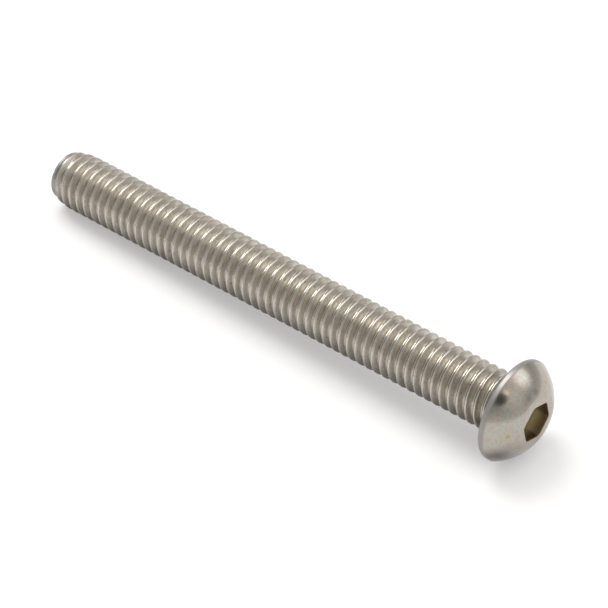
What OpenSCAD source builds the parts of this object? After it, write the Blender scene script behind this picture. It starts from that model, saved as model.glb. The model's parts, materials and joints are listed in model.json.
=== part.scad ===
// Button head socket screw with a right-hand thread along its whole shank.
// Each sub-part is drawn on the screw's own axis, with the seat under the head at height 0, the
// head above it and the shank below. The finished screw is then laid on its side as it comes to
// rest, on the rim of its head and on its first full crest.

/* [Shank] */
// Length from the seat under the head to the end of the point
screw_length = 88.9; // [20:0.1:115]
// Outer diameter over the thread crests
thread_d = 9.42; // [7:0.01:12]
// How far the fillet under the head reaches out past the crests
neck_reach = 0.1; // [0.05:0.05:0.5]

/* [Thread] */
// Axial distance from one crest to the next
thread_pitch = 1.5875; // [1.25:0.0005:2]
// Width of the flat along each crest
crest_flat = 0.21; // [0.1:0.01:0.3]
// Width of the flat along the bottom of each groove
root_flat = 0.27; // [0.1:0.01:0.3]
// Angle between the two flanks of a groove
groove_angle = 60; // [55:1:75]

/* [Point] */
// Depth to which the crests are cut back at the end face
point_bevel = 0.76; // [0.5:0.02:0.9]
// Length over which the crests grow from the end face to full height
point_l = 3.5; // [1:0.1:4]

/* [Head] */
// Largest diameter of the head, across its rim
head_d = 16.15; // [13:0.05:22]
// Height of the head above its seat
head_h = 4.75; // [4:0.05:6]
// Height of the rim up to the edge of the dome
rim_h = 1; // [0.7:0.05:1.5]
// Radius of the rounded lower edge of the rim
rim_edge_r = 0.45; // [0.2:0.05:0.6]
// Diameter of the flat ring on top, round the socket
crown_d = 8.4; // [7.5:0.1:10]

/* [Socket] */
// Distance across the flats of the hexagonal socket
hex_af = 5.56; // [4:0.01:6]
// Depth of the flat sides of the socket
hex_depth = 2.9; // [2:0.05:3.2]
// Width of the ledge between the flats and the cone that the drill left in the socket's floor
drill_ledge = 0.18; // [0.1:0.02:0.6]
// Full angle of the point of that drill
drill_angle = 130; // [118:1:150]
// Turn of the socket against the start of the thread
socket_turn = 37.5; // [0:0.5:59.5]

/* [Rest] */
// Turn of the screw about its own axis as it lies
roll_turn = 155; // [0:1:359]

/* [Hidden] */
// Smoothness of the round surfaces
$fn = 96;
// Straight steps in one turn of the thread
turn_steps = 20;
// Slope at which the rounding of the point meets the crests
runout_angle = 5;

// Depth to which the foot of the neck fillet lies inside the rod
neck_inset = 0.15;

crest_r = thread_d / 2;
flank_w = (thread_pitch - crest_flat - root_flat) / 2;
root_r = crest_r - flank_w / tan(groove_angle / 2);
end_face_r = crest_r - point_bevel;
neck_foot_r = root_r - neck_inset;
neck_fillet_r = crest_r + neck_reach - neck_foot_r;
head_r = head_d / 2;
crown_r = crown_d / 2;
socket_floor = head_h - hex_depth;
drill_r = hex_af / 2 - drill_ledge;
drill_cone_h = drill_r / tan(drill_angle / 2);

// The dome is part of a sphere that passes through the edge of the rim and of the flat ring.
dome_rise = head_h - rim_h;
dome_centre = (head_h + rim_h - (head_r * head_r - crown_r * crown_r) / dome_rise) / 2;
dome_r = norm([head_r, rim_h - dome_centre]);

// The crests at the point are cut back to an arc from the edge of the end face to full height,
// where it still climbs at the run-out angle, so that it ends each crest cleanly.
point_chord = norm([point_l, point_bevel]);
point_arc_r = point_chord / (2 * sin(atan(point_bevel / point_l) - runout_angle));
point_arc_x = crest_r - point_arc_r * cos(runout_angle);
point_arc_z = point_l - screw_length + point_arc_r * sin(runout_angle);

// The threaded rod starts just below the point, ends inside the head and is trimmed afterwards.
rod_foot = -screw_length - 1.1 * thread_pitch;
rod_turns = ceil((rim_h / 2 - rod_foot) / thread_pitch);

// One pitch of the thread as [radius, height]: crest, flank, bottom of the groove, flank.
thread_form = [
    [crest_r, 0],
    [crest_r, crest_flat],
    [root_r, crest_flat + flank_w],
    [root_r, crest_flat + flank_w + root_flat],
];

// At rest the rounded rim and the first full crest touch the same plane.
rest_run = screw_length - point_l + rim_edge_r;
rest_rise = head_r - rim_edge_r - crest_r;
rest_tilt = atan(rest_rise / rest_run) + asin(rim_edge_r / norm([rest_run, rest_rise]));
seat_height = (head_r - rim_edge_r) * cos(rest_tilt) + rim_edge_r * (1 - sin(rest_tilt));
reach_ahead = head_h * cos(rest_tilt) + crown_r * sin(rest_tilt);
reach_behind = screw_length * cos(rest_tilt) + end_face_r * sin(rest_tilt);

// Threaded rod as one strip wound into a helix, with each turn joined to the next
module threaded_rod() {
    places = len(thread_form);
    steps = rod_turns * turn_steps;
    // Point of the strip, by its step along the helix and its place in the thread form
    function strip_point(step, place) =
        let (turn = step / turn_steps, form = thread_form[place])
        [
            form[0] * cos(360 * turn),
            form[0] * sin(360 * turn),
            rod_foot + form[1] + thread_pitch * turn
        ];
    // Index of a point: the place after the last one is the first place of the next turn
    function at(step, place) =
        place < places ? step * places + place : (step + turn_steps) * places;
    points = [
        for (step = [0:steps + turn_steps], place = [0:places - 1]) strip_point(step, place),
        [0, 0, rod_foot],
        [0, 0, rod_foot + (rod_turns + 1) * thread_pitch]
    ];
    foot_centre = len(points) - 2;
    top_centre = len(points) - 1;
    strip = [
        for (step = [0:steps - 1], place = [0:places - 1]) each [
            [at(step, place), at(step, place + 1), at(step + 1, place + 1)],
            [at(step, place), at(step + 1, place + 1), at(step + 1, place)]
        ]
    ];
    foot = [
        for (step = [0:turn_steps - 1]) [foot_centre, at(step, 0), at(step + 1, 0)],
        for (place = [0:places - 1]) [foot_centre, at(0, place + 1), at(0, place)]
    ];
    top = [
        for (step = [steps:steps + turn_steps - 1]) [top_centre, at(step + 1, 0), at(step, 0)],
        for (place = [0:places - 1]) [top_centre, at(steps, place), at(steps, place + 1)]
    ];
    polyhedron(points, concat(strip, foot, top), convexity = 10);
}

// Plain bar with the rounded point, which trims the rod to its length
module trimming_bar() {
    full_height = point_l - screw_length;
    spare_r = 1;
    rotate_extrude() {
        intersection() {
            translate([point_arc_x, point_arc_z]) circle(point_arc_r);
            translate([0, -screw_length]) square([crest_r + spare_r, point_l]);
        }
        translate([0, full_height]) square([crest_r + spare_r, screw_length - point_l + rim_h / 2]);
    }
}

// Fillet that flares from the bottom of the thread into the seat, with its foot inside the rod
module neck() {
    seat_r = neck_foot_r + neck_fillet_r;
    rotate_extrude()
        difference() {
            translate([0, -neck_fillet_r]) square([seat_r, neck_fillet_r + rim_h / 2]);
            translate([seat_r, -neck_fillet_r]) circle(neck_fillet_r);
        }
}

// Domed head with a rounded rim and a flat ring on top
module head_blank() {
    rotate_extrude()
        intersection() {
            translate([0, dome_centre]) circle(dome_r);
            union() {
                translate([0, rim_edge_r]) square([head_r, head_h - rim_edge_r]);
                square([head_r - rim_edge_r, head_h]);
                translate([head_r - rim_edge_r, rim_edge_r]) circle(rim_edge_r);
            }
        }
}

// Hexagonal socket, open at the top, with the cone of the drill in its floor
module socket() {
    rotate([0, 0, socket_turn])
        translate([0, 0, socket_floor])
        cylinder(h = hex_depth + 1, r = hex_af / sqrt(3), $fn = 6);
    translate([0, 0, socket_floor - drill_cone_h])
        cylinder(h = drill_cone_h, r1 = 0, r2 = drill_r);
}

// The whole screw, one piece of metal, upright on its own axis
module upright_screw() {
    difference() {
        union() {
            intersection() {
                threaded_rod();
                trimming_bar();
            }
            neck();
            head_blank();
        }
        socket();
    }
}

module screw() {
    color("silver")
        translate([(reach_behind - reach_ahead) / 2, 0, seat_height])
        rotate([0, 90 - rest_tilt, 0])
        rotate([0, 0, roll_turn])
        upright_screw();
}

screw();
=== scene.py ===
# %% [markdown]
# # A button head socket screw
#
# The real screw is one piece of stainless steel wire. A press squeezes one end into a low dome,
# a punch drives the hexagon into a drilled hole, and two dies then roll the thread into the
# shank. Rolling presses the steel and cuts nothing away, so the crests are slightly rounded. The
# bottoms of the grooves are coloured darker than the crests. The dome keeps a softer finish.
#
# In Blender it is one closed mesh as well. The thread follows a rule, so Geometry Nodes make it.
# The head is a turned shape with a hexagon in it, so a few rings of points are enough. Each
# surface then gets a finish of its own, and a painted room lights it.
#
# The first cell loads the construction, which says where the screw lies and how large it is.

# %% Load the construction
import json
from math import atan2, ceil, cos, hypot, pi, radians, sin, sqrt, tan

import bmesh
import bpy
from mathutils import Matrix, Vector


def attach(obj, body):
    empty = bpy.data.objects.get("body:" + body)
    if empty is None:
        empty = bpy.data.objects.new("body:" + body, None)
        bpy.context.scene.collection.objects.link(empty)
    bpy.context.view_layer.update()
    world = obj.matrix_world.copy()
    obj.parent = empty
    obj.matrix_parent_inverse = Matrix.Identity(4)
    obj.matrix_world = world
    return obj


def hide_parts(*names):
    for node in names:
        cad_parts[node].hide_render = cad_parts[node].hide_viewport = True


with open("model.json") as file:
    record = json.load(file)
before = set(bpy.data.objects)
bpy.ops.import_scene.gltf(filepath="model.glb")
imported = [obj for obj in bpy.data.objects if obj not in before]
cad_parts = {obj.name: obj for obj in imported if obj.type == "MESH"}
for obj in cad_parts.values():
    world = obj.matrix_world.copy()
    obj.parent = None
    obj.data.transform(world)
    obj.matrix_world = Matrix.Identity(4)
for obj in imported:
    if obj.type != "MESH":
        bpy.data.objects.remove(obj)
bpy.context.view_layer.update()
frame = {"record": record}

# %% [markdown]
# # Sizes
#
# The thread is the standard inch thread with sixteen turns to the inch. Every length is a named
# value in millimetres, turned into Blender's metres by one factor. The screw's own axis runs
# through the origin, with the seat under the head at height 0, the head above it and the shank
# below, because both the thread and the head are simplest to describe round such an axis.

# %% Sizes of the thread and the shank
MM = 0.001

PITCH = 1.5875 * MM
CREST_R = 4.71 * MM
CREST_FLAT = 0.21 * MM
ROOT_FLAT = 0.27 * MM
FLANK_SLOPE = tan(radians(30))
ROOT_R = CREST_R - (PITCH - CREST_FLAT - ROOT_FLAT) / 2 / FLANK_SLOPE

SHANK_L = 88.9 * MM
POINT_L = 3.5 * MM
POINT_R = CREST_R - 0.76 * MM
RUNOUT = radians(5)
NECK_FOOT_R = ROOT_R - 0.08 * MM
NECK_R = 1.14 * MM
print("core of the thread: %.2f mm across" % (2 * ROOT_R / MM))

# %% [markdown]
# The head's sizes follow the usual proportions of such a screw: the head is about half a shank's
# width high, and the hexagon takes a smaller key than a cap screw of the same thread does.

# %% Sizes of the head and its socket
HEAD_R = 8.075 * MM
HEAD_H = 4.75 * MM
RIM_H = 1.0 * MM
SEAT_EDGE_R = 0.48 * MM
DOME_EDGE_R = 0.16 * MM
CROWN_R = 4.2 * MM
CROWN_EDGE_R = 1.6 * MM
HEX_FLAT_R = 2.78 * MM
HEX_DEPTH = 2.9 * MM
DRILL_R = 2.6 * MM
DRILL_ANGLE = radians(130)
print("head: %.2f mm across, %.2f mm high" % (2 * HEAD_R / MM, HEAD_H / MM))

# %% [markdown]
# # Where the screw lies
#
# The screw rests on the rim of its head and on the first full crest at its point, so its axis
# leans a little. The construction names the seat and the socket as places where something
# fastens, each with a point and a direction. One matrix made from these puts every point of the
# upright screw in its place.

# %% The matrix from the upright screw to the lying one
ROLL = radians(155)


def mount(name):
    """The named fastening place in the record of the construction."""
    return next(m for m in frame["record"]["mounts"] if m["name"] == name)


axis = Vector(mount("hex_socket")["axis"]).normalized()
mouth = Vector(mount("hex_socket")["pos_m"])
seat = mouth + axis * (Vector(mount("head_seat")["pos_m"]) - mouth).dot(axis)
lean = atan2(axis.z, axis.x)
laid_down = Matrix.Rotation(pi / 2 - lean, 4, "Y")
lying = Matrix.Translation(seat) @ laid_down @ Matrix.Rotation(ROLL, 4, "Z")
print("seat at", [round(c / MM, 2) for c in seat], "leaning by %.2f degrees" % (lean * 180 / pi))

# %% [markdown]
# # Camera
#
# The screw is seen from above its head, with the shank running away to the upper left. A long
# lens at arm's length keeps the two ends of the shank nearly the same width. The camera comes
# first, because every later choice is judged through it.

# %% Camera
VIEW_AZIMUTH = radians(39.91)
VIEW_ELEVATION = radians(42.70)
VIEW_DISTANCE = 0.4177
VIEW_TARGET = Vector((0.00463, -0.00202, 0.0080))
LENS = 163.34
SENSOR_WIDTH = 36
CLIP_START = 0.01

camera = bpy.data.objects.new("camera", bpy.data.cameras.new("camera"))
bpy.context.scene.collection.objects.link(camera)
towards = Vector((sin(VIEW_AZIMUTH) * cos(VIEW_ELEVATION),
                  -cos(VIEW_AZIMUTH) * cos(VIEW_ELEVATION),
                  sin(VIEW_ELEVATION)))
camera.location = VIEW_TARGET + VIEW_DISTANCE * towards
camera.rotation_euler = towards.to_track_quat("Z", "Y").to_euler()
camera.data.sensor_width = SENSOR_WIDTH
camera.data.lens = LENS
camera.data.clip_start = CLIP_START
bpy.context.scene.camera = camera
print("camera %.0f mm away, lens %.0f mm" % (VIEW_DISTANCE / MM, LENS))

# %% [markdown]
# # Nodes written as sums
#
# Both the thread and the finishes are node trees. A tree is easier to read as arithmetic than as
# a list of boxes and wires, so `Wire` wraps one output socket and lets Python's own operators add
# the Math nodes.

# %% A socket that can be used in arithmetic
class Wire:
    """One output socket. Arithmetic on it adds Math nodes to its tree."""

    def __init__(self, graph, socket):
        self.graph = graph
        self.socket = socket

    def maths(self, operation, *others):
        values = dict(enumerate((self, *others)))
        return self.graph.add("ShaderNodeMath", {"operation": operation}, values)

    def __add__(self, other):
        return self.maths("ADD", other)

    def __sub__(self, other):
        return self.maths("SUBTRACT", other)

    def __rsub__(self, other):
        return self * -1 + other

    def __mul__(self, other):
        return self.maths("MULTIPLY", other)

    def __truediv__(self, other):
        return self.maths("DIVIDE", other)

    def __abs__(self):
        return self.maths("ABSOLUTE")

    def __gt__(self, other):
        return self.maths("GREATER_THAN", other)

    __radd__ = __add__
    __rmul__ = __mul__

    def clamp(self):
        """The same value, kept between 0 and 1."""
        return self.maths("MAXIMUM", 0).maths("MINIMUM", 1)

    def step(self, start, end):
        """0 before start and 1 after end, with a smooth change between."""
        return self.graph.add("ShaderNodeMapRange", {"interpolation_type": "SMOOTHSTEP"},
                              {0: self, 1: start, 2: end})


print("sockets can be added and multiplied")

# %% [markdown]
# `Graph` is the other half: one method adds any node that is not a sum. It takes the node's
# settings first, then its inputs, each of which is a number, a colour or another wire.

# %% A tree that adds any node
class Graph:
    """A node tree, with one method that adds any node."""

    def __init__(self, tree):
        self.tree = tree

    def add(self, kind, settings=None, inputs=None, output=0):
        """Adds a node, applies its settings, fills its inputs and returns one of its outputs."""
        node = self.tree.nodes.new(kind)
        for name, value in (settings or {}).items():
            setattr(node, name, value)
        for name, value in (inputs or {}).items():
            if isinstance(value, Wire):
                self.tree.links.new(value.socket, node.inputs[name])
            else:
                node.inputs[name].default_value = value
        return Wire(self, node.outputs[output])

    def split(self, vector):
        """The three parts of a vector."""
        first = self.add("ShaderNodeSeparateXYZ", inputs={"Vector": vector})
        return [Wire(self, output) for output in first.socket.node.outputs]

    def join(self, x, y, z):
        """A vector from its three parts."""
        return self.add("ShaderNodeCombineXYZ", inputs={"X": x, "Y": y, "Z": z})


print("trees can add nodes")

# %% [markdown]
# # Finish of the steel
#
# All surfaces are the same warm grey steel. What differs is how smooth the tool left them, and
# how much dirt or painted shade each place carries. Every pattern is placed by one Mapping node
# that turns the lying screw upright again, so that height runs along the shank and the marks of
# the rolling dies can follow the helix. The side that the screw lies on is found from the radial
# direction, and that side gets a painted shade that stands in for the shadow under the screw.

# %% The screw's own coordinates inside a material
upright = lying.inverted()
down = upright.to_3x3() @ Vector((0, 0, -1))


def screw_place(graph):
    """Object coordinates turned so that Z runs along the axis, in metres."""
    spot = graph.add("ShaderNodeTexCoord", output="Object")
    turn = {"Vector": spot, "Location": upright.to_translation(), "Rotation": upright.to_euler()}
    return graph.add("ShaderNodeMapping", {"vector_type": "POINT"}, turn)


def facing_down(graph, place):
    """1 where the screw's side faces the floor and -1 where it faces up, and the radius."""
    x, y = graph.split(place)[:2]
    radius = (x * x + y * y).maths("SQRT")
    return (x * down.x + y * down.y) / radius, radius


print("down, seen by the upright screw:", [round(c, 2) for c in down])

# %% [markdown]
# A finish is built from the same few steps: cloudy noise, a mix of two colours and a bump. A
# colour is written as three numbers, and the mix adds the fourth that the socket wants.

# %% Steps that the finishes share
def noise(graph, place, size, detail=2.0, rough=0.5):
    """Cloudy noise with features of about the given size in metres."""
    return graph.add("ShaderNodeTexNoise", {"noise_dimensions": "3D"},
                     {"Vector": place, "Scale": 1 / size, "Detail": detail, "Roughness": rough})


def blend(graph, share, first, second):
    """Mixes two colours, each of them a wire or three numbers."""
    first, second = [c if isinstance(c, Wire) else (*c, 1) for c in (first, second)]
    return graph.add("ShaderNodeMix", {"data_type": "RGBA"},
                     {0: share, 6: first, 7: second}, output=2)


def finish_of(name, metallic=1.0):
    """A new material with an empty tree and its surface shader."""
    material = bpy.data.materials.new(name)
    material.use_nodes = True
    material.node_tree.nodes.clear()
    graph = Graph(material.node_tree)
    shader = material.node_tree.nodes.new("ShaderNodeBsdfPrincipled")
    output = material.node_tree.nodes.new("ShaderNodeOutputMaterial")
    material.node_tree.links.new(shader.outputs["BSDF"], output.inputs["Surface"])
    shader.inputs["Metallic"].default_value = metallic
    return material, graph, shader


def plug(graph, shader, name, wire):
    """Feeds one input of the surface shader."""
    graph.tree.links.new(wire.socket, shader.inputs[name])


def bumped(graph, height, depth):
    """A normal from a height between 0 and 1 that stands for a depth in metres."""
    relief = {"Strength": 1.0, "Distance": depth, "Height": height}
    return graph.add("ShaderNodeBump", inputs=relief)


print("steps for the finishes are ready")

# %% [markdown]
# # Rolled thread
#
# The dies polish the crests and press fine lines into the flanks; the bottoms of the grooves are
# coloured darker. So the finish asks how deep a point lies in the groove. The lines are a noise that
# is stretched round the axis and counted from the nearest crest, which makes them follow the helix.
# The helix starts 1.38 pitches below the end face, and this cell fixes that for the mesh too.
# The rows of the spare turns below that start close the end face.

# %% Finish of the thread
SPARE_TURNS = 2
HELIX_START = 1.38
THREAD_FOOT = -SHANK_L - HELIX_START * PITCH + CREST_FLAT / 2 - SPARE_TURNS * PITCH
LINE_STRETCH = 0.05
LINE_SIZE, GRAIN_SIZE, CLOUD_SIZE, SPECK_SIZE = 0.26 * MM, 0.30 * MM, 1.6 * MM, 0.5 * MM
LAND_FADE = (0.9 * MM, 1.3 * MM)
THREAD_RELIEF = 0.0045 * MM

FLANK_CLEAN, GROOVE_CLEAN = (0.47, 0.435, 0.385), (0.57, 0.53, 0.475)
FLANK_DULL, GROOVE_DULL = (0.345, 0.315, 0.265), (0.40, 0.365, 0.315)
ROOT_COLOUR, CREST_COLOUR = (0.35, 0.325, 0.285), (0.51, 0.475, 0.435)
# The last colour on the line below is painted shade for the side that faces the floor.
SPECK_COLOUR, UNDERSIDE_SHADE_COLOUR = (0.07, 0.06, 0.045), (0.15, 0.137, 0.122)
LAND_COLOUR = (0.26, 0.258, 0.272)


def thread_finish():
    """Polished crests, lined flanks and darker grooves, with specks and painted shade on the lower
    side.
    """
    material, graph, shader = finish_of("rolled thread steel")
    place = screw_place(graph)
    x, y, z = graph.split(place)
    below, radius = facing_down(graph, place)

    # The depth is 0 on a crest and 1 at the bottom of a groove.
    depth = (CREST_R - radius) / (CREST_R - ROOT_R)
    root = depth.step(0.80, 0.98)
    crest = 1 - depth.step(0.03, 0.14)
    inner = depth.step(0.15, 0.60)

    turn = (z - THREAD_FOOT) / PITCH - y.maths("ARCTAN2", x) / (2 * pi)
    across = turn.maths("WRAP", 0.5, -0.5) * PITCH
    along = graph.join(x * LINE_STRETCH, y * LINE_STRETCH, across + z * LINE_STRETCH)
    lines = noise(graph, along, LINE_SIZE, 3.0, 0.6)
    grain = noise(graph, place, GRAIN_SIZE, 4.0, 0.65)
    cloud = noise(graph, place, CLOUD_SIZE, 3.0)
    mottle = ((lines - 0.5) * 1.4 + (cloud - 0.5) * 1.8 + (grain - 0.5) * 2.2 + 0.40).clamp()
    specks = noise(graph, place, SPECK_SIZE, 1.0).step(0.70, 0.76)

    clean = blend(graph, inner, FLANK_CLEAN, GROOVE_CLEAN)
    dull = blend(graph, inner, FLANK_DULL, GROOVE_DULL)
    colour = blend(graph, mottle, clean, dull)
    colour = blend(graph, root * 0.9, colour, ROOT_COLOUR)
    colour = blend(graph, crest * 0.9, colour, CREST_COLOUR)
    colour = blend(graph, specks * 0.6, colour, SPECK_COLOUR)
    # Painted shade: the side that faces the floor is darkened, standing in for the mirrored shadow
    # under the screw.
    colour = blend(graph, below.step(-0.25, 0.60) * 0.9, colour, UNDERSIDE_SHADE_COLOUR)

    # The end of the wire was sheared, not rolled, so its land is a cooler and darker grey.
    land = 1 - (z + SHANK_L).step(*LAND_FADE)
    colour = blend(graph, land * 0.8, colour, LAND_COLOUR)
    plug(graph, shader, "Base Color", colour)

    flank = 1 - (root + crest).clamp()
    plug(graph, shader, "Roughness", 0.07 + lines * 0.05 + flank * (0.24 + mottle * 0.16))
    plug(graph, shader, "Normal", bumped(graph, lines * 0.25 + grain * 0.75, THREAD_RELIEF))
    return material


thread_steel = thread_finish()
print("finish:", thread_steel.name)

# %% [markdown]
# # Stains on the dome
#
# A used or handled screw has a few marks: a small olive spot low on the dome with a pale haze
# round it, a fainter spot high up, and two brown smudges beside the socket. Each is a place on the
# upright screw and a size, both in millimetres, a strength and a colour. The grain of the steel
# pushes the edge of each mark in and out.

# %% The list of stains
STAINS = [
    ((-1.68, 5.50, 3.74), 0.50, 0.95, (0.29, 0.29, 0.08)),
    ((-1.9, 5.7, 3.6), 1.3, 0.25, (0.42, 0.41, 0.28)),
    ((5.83, -1.00, 3.62), 0.40, 0.60, (0.36, 0.31, 0.18)),
    ((4.98, 1.76, 4.10), 0.75, 0.80, (0.31, 0.26, 0.235)),
    ((4.16, 3.24, 4.10), 0.70, 0.75, (0.32, 0.27, 0.24)),
]


def blot(graph, place, centre, size, ragged):
    """A round patch of dirt with a ragged edge: 1 in its middle and 0 outside."""
    away = graph.add("ShaderNodeVectorMath", {"operation": "DISTANCE"},
                     {0: place, 1: centre}, output="Value")
    return 1 - (away + (ragged - 0.5) * size).step(0.3 * size, size)


print("stains:", len(STAINS))

# %% [markdown]
# # Dome of the head
#
# The dome was tumbled smooth after pressing. It mirrors the room softly, with faint warm clouds
# in the steel. Its rim rubs against other screws in the bin, so it is duller. The side that lies
# on the floor is darkened towards the edge with painted shade, for the shadowed floor it mirrors.

# %% Finish of the dome
DOME_COOL, DOME_WARM = (0.398, 0.386, 0.346), (0.408, 0.352, 0.316)
# The second colour below and the first fade after it are painted shade for the dome's lower edge.
DOME_GRAIN, LOWER_EDGE_SHADE_COLOUR, RIM_COLOUR = (0.31, 0.285, 0.25), (0.11, 0.10, 0.09), (0.27, 0.262, 0.258)
DOME_CLOUD_SIZE, DOME_GRAIN_SIZE = 1.7 * MM, 0.40 * MM
LOWER_EDGE_SHADE_FADE, RIM_FADE = (5.0 * MM, 7.4 * MM), (0.9 * MM, 1.3 * MM)
DOME_RELIEF = 0.006 * MM


def dome_finish():
    """Soft mirroring steel with warm clouds, stains, a duller rim and painted shade at the lower
    edge.
    """
    material, graph, shader = finish_of("tumbled dome steel")
    place = screw_place(graph)
    z = graph.split(place)[2]
    below, radius = facing_down(graph, place)
    cloud = noise(graph, place, DOME_CLOUD_SIZE, 5.0, 0.6)
    grain = noise(graph, place, DOME_GRAIN_SIZE, 4.0, 0.6)
    colour = blend(graph, cloud.step(0.42, 0.62), DOME_COOL, DOME_WARM)
    colour = blend(graph, grain.step(0.42, 0.72) * 0.6, colour, DOME_GRAIN)
    for centre, size, strength, stain in STAINS:
        spot = blot(graph, place, [c * MM for c in centre], size * MM, grain)
        colour = blend(graph, spot * strength, colour, stain)
    # Painted shade: the lower edge, where the dome mirrors the floor in shadow, is darkened in
    # colour.
    lower_edge_shade = below.step(0.12, 0.50) * radius.step(*LOWER_EDGE_SHADE_FADE)
    colour = blend(graph, lower_edge_shade * 0.9, colour, LOWER_EDGE_SHADE_COLOUR)
    rim = 1 - z.step(*RIM_FADE)
    colour = blend(graph, rim * 0.8, colour, RIM_COLOUR)
    plug(graph, shader, "Base Color", colour)
    plug(graph, shader, "Roughness", 0.13 + cloud * 0.10 + rim * 0.24)
    plug(graph, shader, "Normal", bumped(graph, cloud * 0.7 + grain * 0.3, DOME_RELIEF))
    return material


dome_steel = dome_finish()
print("finish:", dome_steel.name)

# %% [markdown]
# # Punched socket
#
# Oil from the press stays in the socket, where nothing wipes it off. The walls turn from brown at
# the mouth to olive further down, and they are rougher than the dome.

# %% Finish of the socket
SOCKET_BROWN, SOCKET_OLIVE = (0.22, 0.175, 0.12), (0.61, 0.55, 0.40)
SOCKET_CLOUD_SIZE, SOCKET_GRAIN_SIZE = 0.8 * MM, 0.10 * MM
OLIVE_FADE = (0.5 * MM, 2.4 * MM)
SOCKET_RELIEF = 0.003 * MM


def socket_finish():
    """Oily steel that turns from brown at the mouth to olive further down."""
    material, graph, shader = finish_of("punched socket steel")
    place = screw_place(graph)
    z = graph.split(place)[2]
    cloud = noise(graph, place, SOCKET_CLOUD_SIZE, 3.0)
    grain = noise(graph, place, SOCKET_GRAIN_SIZE, 3.0)
    deep = (HEAD_H - z).step(*OLIVE_FADE)
    share = (deep + (cloud - 0.5) * 0.5).clamp()
    plug(graph, shader, "Base Color", blend(graph, share, SOCKET_BROWN, SOCKET_OLIVE))
    plug(graph, shader, "Roughness", 0.30 + cloud * 0.2)
    plug(graph, shader, "Normal", bumped(graph, grain, SOCKET_RELIEF))
    return material


socket_steel = socket_finish()
print("finish:", socket_steel.name)

# %% [markdown]
# # The thread
#
# A thread could be swept with the Screw modifier, but that can't taper the point or run into the
# neck. Here the rule is written out instead. A flat grid is wound round the axis: one direction
# goes once round the shank, the other along it, and each point is lifted by one pitch on its way
# round. The last column then meets the first column of the next turn, and merging the two closes
# the surface. Each point asks how far it is from the nearest crest, and that gives its radius.
#
# The sizes that a designer might change are inputs of the tree. The small roundings are not:
# they only soften the corners for the light.

# %% Inputs of the thread's tree
COLUMNS = 96
ROWS_PER_PITCH = 14
CREST_ROUNDING = 0.06 * MM
ROOT_ROUNDING = 0.07 * MM
NECK_BLEND = 0.25 * MM

THREAD_SIZES = {
    "Pitch": PITCH,
    "Crest radius": CREST_R,
    "Crest flat": CREST_FLAT,
    "Root radius": ROOT_R,
    "Shank length": SHANK_L,
    "Point length": POINT_L,
    "Point radius": POINT_R,
    "Neck radius": NECK_R,
    "Neck foot radius": NECK_FOOT_R,
}

thread_rows = ceil(-THREAD_FOOT / PITCH) * ROWS_PER_PITCH
print("grid of the thread:", COLUMNS, "by", thread_rows)

# %% [markdown]
# # Crest and flank
#
# The helix rises evenly, so the turn number minus the share of the way round is the same all
# along one crest. Wrapped to half a turn either way, it is the distance from the nearest crest.
# The flank falls from there at the angle of the dies, and a smooth minimum rounds the crest.

# %% Radius of a full turn
def rolled_radius(size, z, around):
    """Radius of the thread at height z, where around counts from 0 to 1 once round the axis."""
    turn = (z - THREAD_FOOT) / size["Pitch"] - around
    crest_gap = abs(turn.maths("WRAP", 0.5, -0.5)) * size["Pitch"]
    flank = size["Crest radius"] - (crest_gap - size["Crest flat"] / 2) / FLANK_SLOPE
    return flank.maths("SMOOTH_MIN", size["Crest radius"], CREST_ROUNDING)


print("thread depth: %.2f mm" % ((CREST_R - ROOT_R) / MM))

# %% [markdown]
# # Point
#
# The wire is pointed before it is rolled, so that a nut finds its start. The taper is an arc
# that leaves the shank at a slight angle and ends at the land. The whole profile is lowered by
# what the arc takes off, but never below the bottom of the grooves, so the thread grows shallow
# towards the point, as rolling does.

# %% The arc of the point
def pointed(size, z, radius):
    """The radius, lowered by what the arc of the point takes off the wire."""
    bevel = size["Crest radius"] - size["Point radius"]
    chord = (bevel * bevel + size["Point length"] * size["Point length"]).maths("SQRT")
    bend = (bevel / size["Point length"]).maths("ARCTANGENT") - RUNOUT
    arc = chord / (2 * bend.maths("SINE"))
    centre_z = size["Point length"] - size["Shank length"] + arc * sin(RUNOUT)
    centre_r = size["Crest radius"] - arc * cos(RUNOUT)
    reach = (z - centre_z).maths("MINIMUM", 0)
    wire = centre_r + (arc * arc - reach * reach).maths("SQRT")
    return radius - (size["Crest radius"] - wire.maths("MINIMUM", size["Crest radius"]))


print("point: %.1f mm long, %.1f mm across at its end" % (POINT_L / MM, 2 * POINT_R / MM))

# %% [markdown]
# The dies don't reach the very end, so the last part of a turn stays plain: the land. Its start
# and end are counted in pitches from the end face. Shearing leaves its edge slightly round, which
# here is a quarter of a circle between land and end face.

# %% The plain land at the end
LAND_START, LAND_END = 0.25, 0.50
END_EDGE_R = 0.22 * MM


def plain_end(size, z, radius):
    """The radius, with the thread faded out into a plain land and a round edge."""
    end_gap = z + size["Shank length"]
    threaded = (end_gap / size["Pitch"]).step(LAND_START, LAND_END)
    radius = size["Point radius"] + (radius - size["Point radius"]) * threaded
    edge = (END_EDGE_R - end_gap).maths("MAXIMUM", 0)
    return radius - END_EDGE_R + (END_EDGE_R ** 2 - edge * edge).maths("MAXIMUM", 0).maths("SQRT")


print("plain land at the end: %.1f mm" % (LAND_START * PITCH / MM))

# %% [markdown]
# # Neck
#
# Under the head the shank flares into the seat. The fillet spreads the load there, and no thread
# can be rolled on it. A smooth maximum of thread and fillet lets the last groove run out.

# %% The fillet under the head
def necked(size, z, radius):
    """The radius, joined to a fillet that is a quarter of a circle."""
    rise = (z + size["Neck radius"]).maths("MAXIMUM", 0)
    drop = size["Neck radius"] * size["Neck radius"] - rise * rise
    fillet = size["Neck radius"] - drop.maths("MAXIMUM", 0).maths("SQRT")
    return radius.maths("SMOOTH_MAX", size["Neck foot radius"] + fillet, NECK_BLEND)


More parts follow.
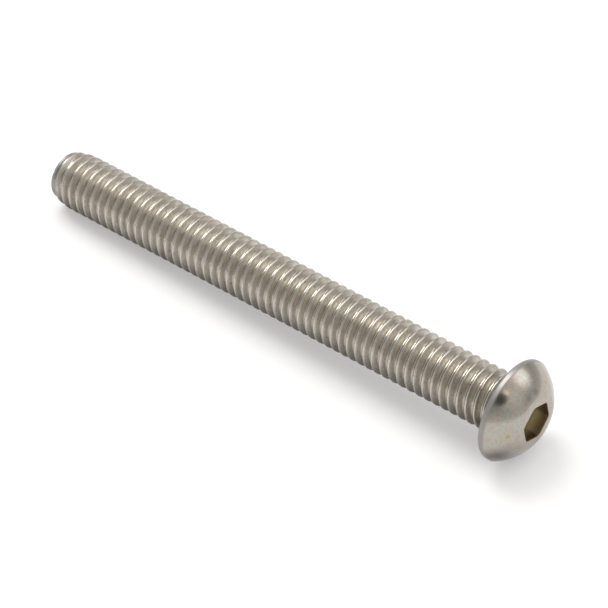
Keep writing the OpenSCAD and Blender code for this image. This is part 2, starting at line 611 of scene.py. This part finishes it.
def thread_radius(size, z, around):
    """Radius of the whole shank at height z."""
    radius = rolled_radius(size, z, around).maths("SMOOTH_MAX", size["Root radius"], ROOT_ROUNDING)
    radius = pointed(size, z, radius).maths("SMOOTH_MAX", size["Root radius"], ROOT_ROUNDING)
    return necked(size, z, plain_end(size, z, radius))


print("fillet of %.2f mm under the head" % (NECK_R / MM))

# %% [markdown]
# # Winding the grid
#
# The grid starts as a square. Its rows crowd together at crests and grooves, where the shape
# bends most: a sine taken off the row number does that. Rows past either end stay on it, where
# they close in on the axis or widen to the collar that the head joins.

# %% Where each point of the grid goes
ROW_CROWDING = 0.6
END_TURNS = 1.2


def wound(graph, size):
    """The place of each point of the grid, and nothing else."""
    x, y = graph.split(graph.add("GeometryNodeInputPosition"))[:2]
    around = x + 0.5
    row = (y + 0.5) * size["Rows"] / ROWS_PER_PITCH
    crowded = row - (row * 4 * pi).maths("SINE") * (ROW_CROWDING / (4 * pi))
    height = (crowded + around) * size["Pitch"] + THREAD_FOOT
    bottom = size["Shank length"] * -1
    z = height.maths("MAXIMUM", bottom).maths("MINIMUM", 0)

    radius = thread_radius(size, z, around)
    radius = radius * (1 - (bottom - height) / size["Pitch"] / END_TURNS).clamp()
    collar = size["Neck foot radius"] + size["Neck radius"]
    radius = radius + (collar - radius) * (height > 0)
    angle = around * 2 * pi
    return graph.join(radius * angle.maths("COSINE"), radius * angle.maths("SINE"), z)


print("the end face closes in over %.1f turns" % END_TURNS)

# %% [markdown]
# The tree itself is short: a grid, the new places, a merge that closes the seam and the end face
# and gathers the spare rows on the collar, smooth shading and the thread's finish.

# %% The thread's tree
SEAM = 0.001 * MM


def thread_tree(material):
    """The node group that winds a grid into the thread, with its sizes as named inputs."""
    tree = bpy.data.node_groups.new("rolled thread", "GeometryNodeTree")
    for name in THREAD_SIZES:
        tree.interface.new_socket(name=name, in_out="INPUT", socket_type="NodeSocketFloat")
    for name in ("Columns", "Rows"):
        tree.interface.new_socket(name=name, in_out="INPUT", socket_type="NodeSocketInt")
    tree.interface.new_socket(name="Thread", in_out="OUTPUT", socket_type="NodeSocketGeometry")

    graph = Graph(tree)
    entry = tree.nodes.new("NodeGroupInput")
    size = {name: Wire(graph, entry.outputs[name]) for name in (*THREAD_SIZES, "Columns", "Rows")}
    mesh = graph.add("GeometryNodeMeshGrid", inputs={
        "Size X": 1, "Size Y": 1, "Vertices X": size["Columns"] + 1, "Vertices Y": size["Rows"] + 1})
    place = wound(graph, size)
    mesh = graph.add("GeometryNodeSetPosition", inputs={"Geometry": mesh, "Position": place})
    mesh = graph.add("GeometryNodeMergeByDistance", inputs={"Geometry": mesh, "Distance": SEAM})
    mesh = graph.add("GeometryNodeSetShadeSmooth", inputs={"Geometry": mesh})
    mesh = graph.add("GeometryNodeRealizeInstances", inputs={"Geometry": mesh})
    mesh = graph.add("GeometryNodeSetMaterial", inputs={"Geometry": mesh, "Material": material})
    leave = tree.nodes.new("NodeGroupOutput")
    tree.links.new(mesh.socket, leave.inputs["Thread"])
    return tree


tree = thread_tree(thread_steel)
print("thread's tree:", len(tree.nodes), "nodes")

# %% [markdown]
# The tree runs as a modifier on an empty mesh. Its inputs are set before it is evaluated, the
# result is copied as a plain mesh, and the modifier goes away again.

# %% Wind the thread
def grown_mesh(tree, values, name):
    """Runs a tree on an empty object with the named input values and returns a plain mesh."""
    seed = bpy.data.objects.new(name, bpy.data.meshes.new(name))
    bpy.context.scene.collection.objects.link(seed)
    modifier = seed.modifiers.new(name, "NODES")
    modifier.node_group = tree
    for item in tree.interface.items_tree:
        if item.in_out == "INPUT":
            modifier[item.identifier] = values[item.name]
    depsgraph = bpy.context.evaluated_depsgraph_get()
    mesh = bpy.data.meshes.new_from_object(seed.evaluated_get(depsgraph))
    seed.modifiers.remove(modifier)
    bpy.data.objects.remove(seed)
    return mesh


thread_values = {**THREAD_SIZES, "Columns": COLUMNS, "Rows": thread_rows}
thread_mesh = grown_mesh(tree, thread_values, "wound_thread")
print("thread:", len(thread_mesh.vertices), "points,", len(thread_mesh.polygons), "faces")

# %% [markdown]
# # Outline with round corners
#
# The head is turned: one outline, spun round the axis. Its corners are short arcs, because real
# edges are never sharp and each one catches a thin line of light. A bevel modifier could round
# them too, but arcs in the outline keep the rings even.

# %% Round the corners of an outline
def rounded(corners, steps=5):
    """Points of an outline, where each corner (x, y, radius) is replaced by an arc."""
    points = []
    for i, (x, y, radius) in enumerate(corners):
        corner = Vector((x, y))
        if radius == 0:
            points.append(corner)
            continue
        back = (Vector(corners[i - 1][:2]) - corner).normalized()
        ahead = (Vector(corners[i + 1][:2]) - corner).normalized()
        half = back.angle(ahead) / 2
        start, end = corner + back * radius / tan(half), corner + ahead * radius / tan(half)
        centre = corner + (back + ahead).normalized() * radius / sin(half)
        for k in range(steps + 1):
            spoke = (start - centre).slerp(end - centre, k / steps)
            points.append(centre + radius * spoke)
    return points


print("outlines can be rounded")

# %% [markdown]
# # Outline of the head
#
# The dome is part of a sphere that passes through the edge of the rim and the edge of the flat
# ring on top. The outline starts on the collar where the thread ends, so that the two join into
# one surface, and runs over the seat, the rim and the dome to that ring. The corners of rim and
# crown each reach a little way along the dome, and rings of its own fill what lies between.

# %% From the collar to the flat ring
DOME_RINGS = 26
CROWN_STEPS = 8
RIM_REACH, CROWN_REACH = 0.35 * MM, 0.7 * MM
DOME_START, DOME_END = HEAD_R - 0.6 * MM, CROWN_R + 0.9 * MM
RING_R = CROWN_R - CROWN_REACH

dome_centre = (HEAD_H + RIM_H - (HEAD_R ** 2 - CROWN_R ** 2) / (HEAD_H - RIM_H)) / 2
dome_r = hypot(HEAD_R, RIM_H - dome_centre)


def dome_point(radius):
    """Point of the outline where the dome has the given radius."""
    return radius, dome_centre + sqrt(dome_r ** 2 - radius ** 2)


def head_outline():
    """Points of the outline from the collar over seat, rim and dome to the flat ring."""
    collar_r = NECK_FOOT_R + NECK_R
    rim = [(collar_r, 0, 0),
           (HEAD_R, 0, SEAT_EDGE_R),
           (HEAD_R, RIM_H, DOME_EDGE_R),
           (*dome_point(HEAD_R - RIM_REACH), 0)]
    dome = [dome_point(DOME_START + (DOME_END - DOME_START) * k / DOME_RINGS)
            for k in range(DOME_RINGS + 1)]
    crown = [(*dome_point(CROWN_R + CROWN_REACH), 0),
             (CROWN_R, HEAD_H, CROWN_EDGE_R),
             (RING_R, HEAD_H, 0)]
    return [*rounded(rim), *[Vector(p) for p in dome], *rounded(crown, CROWN_STEPS)]


outline = head_outline()
print("outline of the head:", len(outline), "points")

# %% [markdown]
# # The hexagon
#
# A punch presses the hexagon, so its corners are a little round. Six cosines, one for each flat,
# raised to a high power and added up, give such a shape as one formula for the distance from the
# axis at every angle.

# %% Distance from the axis to the hexagon
SOCKET_TURN = radians(37.5)
HEX_SHARPNESS = 18


def hexagon(angle, flat_r):
    """Distance from the axis to a hexagon with slightly round corners."""
    flats = [angle - SOCKET_TURN - radians(30 + 60 * k) for k in range(6)]
    powers = [max(cos(flat), 0) ** HEX_SHARPNESS for flat in flats]
    return flat_r / sum(powers) ** (1 / HEX_SHARPNESS)


print("socket: %.2f mm across the flats" % (2 * hexagon(SOCKET_TURN + radians(30), HEX_FLAT_R) / MM))

# %% [markdown]
# # The socket
#
# Each ring of the socket is a closed curve given by its distance from the axis at every angle,
# with the same number of points as the rings of the dome. The rings then join without a seam.
# They run from the flat ring over the drawn-in mouth, down the walls, across the floor and into
# the cone that the drill left. The shares say how far along each stretch its rings lie, with one
# close beside each edge to keep it crisp. A boolean cut would give a sharp mouth and uneven faces.

# %% Rings of the socket
MOUTH_ROUNDING = 0.12 * MM
MOUTH_STEPS = 4
MOUTH_MARGIN = 1.02
WALL_RINGS = 6
RING_SHARES = (0.35, 0.65, 0.85, 0.95)
FLOOR_SHARES = (0.03, 0.5, 1.0)
CONE_SHARES = (0.03, 0.35, 0.7, 0.95)


def from_ring(share):
    """A curve between the round edge of the flat ring and the hexagonal mouth."""
    def radius_at(angle):
        edge = hexagon(angle, HEX_FLAT_R + MOUTH_ROUNDING)
        return (1 - share) * max(RING_R, edge * MOUTH_MARGIN) + share * edge
    return radius_at


def from_wall(share):
    """A curve between the foot of the walls and the edge of the drilled cone."""
    return lambda angle: (1 - share) * hexagon(angle, HEX_FLAT_R) + share * DRILL_R


def socket_rings():
    """Pairs of a height and a function from angle to radius, and the tip of the cone."""
    rings = [(HEAD_H, from_ring(share)) for share in RING_SHARES]
    for k in range(MOUTH_STEPS + 1):
        turn = pi / 2 * k / MOUTH_STEPS
        flat_r = HEX_FLAT_R + MOUTH_ROUNDING * (1 - sin(turn))
        drop = MOUTH_ROUNDING * (1 - cos(turn))
        rings.append((HEAD_H - drop, lambda angle, r=flat_r: hexagon(angle, r)))
    floor, top = HEAD_H - HEX_DEPTH, HEAD_H - MOUTH_ROUNDING
    for k in range(1, WALL_RINGS + 1):
        rings.append((top + (floor - top) * k / WALL_RINGS, from_wall(0)))
    rings += [(floor, from_wall(share)) for share in FLOOR_SHARES]
    cone = DRILL_R / tan(DRILL_ANGLE / 2)
    for share in CONE_SHARES:
        rings.append((floor - cone * share, lambda angle, s=share: DRILL_R * (1 - s)))
    return rings, floor - cone


rings, cone_tip = socket_rings()
print("rings of the socket:", len(rings))

# %% [markdown]
# # Skin
#
# One function skins all rings, round or hexagonal: it adds a ring of points and joins each to
# the ring before. A pole closes the tip of the cone.

# %% Skin the rings
def add_face(mesh, corners, slot):
    """Adds one smooth face with the finish of the given slot."""
    face = mesh.faces.new(corners)
    face.material_index = slot
    face.smooth = True


def skin(mesh, rings, slot):
    """Adds rings of points and the faces between them. Returns the last ring."""
    previous = None
    for height, radius_at in rings:
        ring = []
        for column in range(COLUMNS):
            angle = 2 * pi * column / COLUMNS
            radius = radius_at(angle)
            ring.append(mesh.verts.new((radius * cos(angle), radius * sin(angle), height)))
        if previous:
            for column in range(COLUMNS):
                after = (column + 1) % COLUMNS
                corners = (previous[column], previous[after], ring[after], ring[column])
                add_face(mesh, corners, slot)
        previous = ring
    return previous


def close_with_pole(mesh, ring, height, slot):
    """Joins a ring to one point on the axis."""
    pole = mesh.verts.new((0, 0, height))
    for column in range(COLUMNS):
        add_face(mesh, (ring[column], ring[(column + 1) % COLUMNS], pole), slot)


print("points in a ring:", COLUMNS)

# %% [markdown]
# # One screw
#
# Thread and head share the ring of the collar, so merging its points makes one closed mesh with
# three finishes. The faces that come from the tree are given the thread's slot here, because the
# tree numbers its slots by itself. The mesh is then laid down by the matrix, and the object stays
# at the origin.

# %% Join thread and head
THREAD_SLOT, DOME_SLOT, SOCKET_SLOT = 0, 1, 2
MOUTH_RING = 4


def whole_screw():
    """The lying screw as one closed mesh with its three finishes."""
    mesh = bmesh.new()
    mesh.from_mesh(thread_mesh)
    for face in mesh.faces:
        face.material_index = THREAD_SLOT
    turned = [(point.y, lambda angle, r=point.x: r) for point in outline]
    skin(mesh, turned + rings[:MOUTH_RING + 1], DOME_SLOT)
    last = skin(mesh, rings[MOUTH_RING:], SOCKET_SLOT)
    close_with_pole(mesh, last, cone_tip, SOCKET_SLOT)
    bmesh.ops.remove_doubles(mesh, verts=mesh.verts, dist=SEAM)
    bmesh.ops.recalc_face_normals(mesh, faces=mesh.faces)
    mesh.transform(lying)
    open_edges = sum(len(edge.link_faces) != 2 for edge in mesh.edges)
    print("screw:", len(mesh.verts), "points,", len(mesh.faces), "faces,", open_edges, "open edges")
    result = bpy.data.meshes.new("steel_screw")
    mesh.to_mesh(result)
    mesh.free()
    for material in (thread_steel, dome_steel, socket_steel):
        result.materials.append(material)
    return result


screw = bpy.data.objects.new("steel_screw", whole_screw())
bpy.context.scene.collection.objects.link(screw)
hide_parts("screw")
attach(screw, "root")

# %% [markdown]
# # Floor
#
# Small parts are often shown on a lit table, which is bright from below and keeps their shadows
# pale. The floor is such a table: matt and nearly white, with a faint glow of its own.

# %% Floor
FLOOR_SIZE = 6.0
FLOOR_COLOUR = (0.70, 0.70, 0.71, 1)
GLOW_COLOUR = (1.0, 0.99, 0.98, 1)
GLOW_STRENGTH = 0.30
FLOOR_ROUGHNESS = 0.9


def floor_finish():
    """A matt, pale surface that glows faintly."""
    material, graph, shader = finish_of("pale floor", metallic=0.0)
    shader.inputs["Base Color"].default_value = FLOOR_COLOUR
    shader.inputs["Emission Color"].default_value = GLOW_COLOUR
    shader.inputs["Emission Strength"].default_value = GLOW_STRENGTH
    shader.inputs["Roughness"].default_value = FLOOR_ROUGHNESS
    shader.inputs["Specular IOR Level"].default_value = 0.0
    return material


half = FLOOR_SIZE / 2
floor_corners = [(-half, -half, 0), (half, -half, 0), (half, half, 0), (-half, half, 0)]
floor_mesh = bpy.data.meshes.new("floor")
floor_mesh.from_pydata(floor_corners, [], [(0, 1, 2, 3)])
floor_mesh.materials.append(floor_finish())
floor = bpy.data.objects.new("floor", floor_mesh)
bpy.context.scene.collection.objects.link(floor)
print("floor %.1f m wide" % FLOOR_SIZE)

# %% [markdown]
# # Light
#
# Bare steel shows what stands round it more than its own colour, so the light is a room and not
# a few lamps. The room is painted on the world as soft round patches. Each has an azimuth, an
# elevation, an inner and an outer angle, all in degrees, and then a light's colour or the share
# that a shade takes away. The lamp behind the screw draws the bright lines on crests and rim, the
# window makes the soft spot on the dome, and the shades are the camera and whoever stands behind
# it, which the dome mirrors as a dark spot.

# %% What stands in the room
WALL_COLOUR = (0.55, 0.545, 0.53)
LIGHTS = {
    "ceiling": (225, 74, 10, 52, (0.66, 0.65, 0.64)),
    "lamp": (258, 56, 15, 20, (4.2, 4.15, 4.0)),
    "glow of the lamp": (266, 57, 14, 42, (0.34, 0.33, 0.32)),
    "window": (140, 41, 4, 27, (1.46, 1.44, 1.39)),
    "back wall": (218, 22, 10, 38, (0.36, 0.37, 0.37)),
    "front wall": (325, 30, 10, 45, (0.20, 0.20, 0.20)),
    "right wall": (88, 40, 8, 40, (0.38, 0.37, 0.34)),
    "small lamp": (76, 49, 3, 6, (1.3, 1.2, 0.7)),
    "foot of the walls": (0, -90, 86, 112, (0.30, 0.30, 0.29)),
}
SHADES = {
    "camera side": (42, 42, 14, 34, 0.05),
    "camera": (59, 42, 10, 13, 0.88),
    "camera stand": (46, 35, 3, 9, 0.55),
}
print("lights:", ", ".join(LIGHTS))

# %% [markdown]
# A patch needs only the angle between the direction of view and its own direction, which is the
# arc cosine of a dot product. Lights are added to the walls' colour one after another, and the
# shades then take their share away. The standard view transform shows these colours as they are.

# %% Paint the room
def facing(azimuth, elevation):
    """The direction of a place in the room. Azimuth 0 is towards -Y and 90 towards +X."""
    a, e = radians(azimuth), radians(elevation)
    return sin(a) * cos(e), -cos(a) * cos(e), sin(e)


def patch(graph, view, azimuth, elevation, inner, outer):
    """A round patch of the room: 1 inside the inner angle and 0 outside the outer one."""
    nearness = graph.add("ShaderNodeVectorMath", {"operation": "DOT_PRODUCT"},
                         {0: view, 1: facing(azimuth, elevation)}, output="Value")
    return 1 - nearness.maths("ARCCOSINE").step(radians(inner), radians(outer))


def room():
    """A world whose colour is the walls, plus each light, less each shade."""
    world = bpy.data.worlds.new("room")
    world.use_nodes = True
    world.node_tree.nodes.clear()
    graph = Graph(world.node_tree)
    view = graph.add("ShaderNodeTexCoord", output="Generated")
    colour = WALL_COLOUR
    for azimuth, elevation, inner, outer, strength in LIGHTS.values():
        glow = patch(graph, view, azimuth, elevation, inner, outer)
        colour = graph.add("ShaderNodeVectorMath", {"operation": "MULTIPLY_ADD"},
                           {0: glow, 1: strength, 2: colour})
    for azimuth, elevation, inner, outer, share in SHADES.values():
        shade = 1 - patch(graph, view, azimuth, elevation, inner, outer) * share
        colour = graph.add("ShaderNodeVectorMath", {"operation": "MULTIPLY"}, {0: colour, 1: shade})
    light = graph.add("ShaderNodeBackground", inputs={"Color": colour})
    output = world.node_tree.nodes.new("ShaderNodeOutputWorld")
    world.node_tree.links.new(light.socket, output.inputs["Surface"])
    return world


bpy.context.scene.world = room()
bpy.context.scene.view_settings.view_transform = "Standard"
bpy.context.scene.view_settings.look = "None"
print("patches in the room:", len(LIGHTS) + len(SHADES))
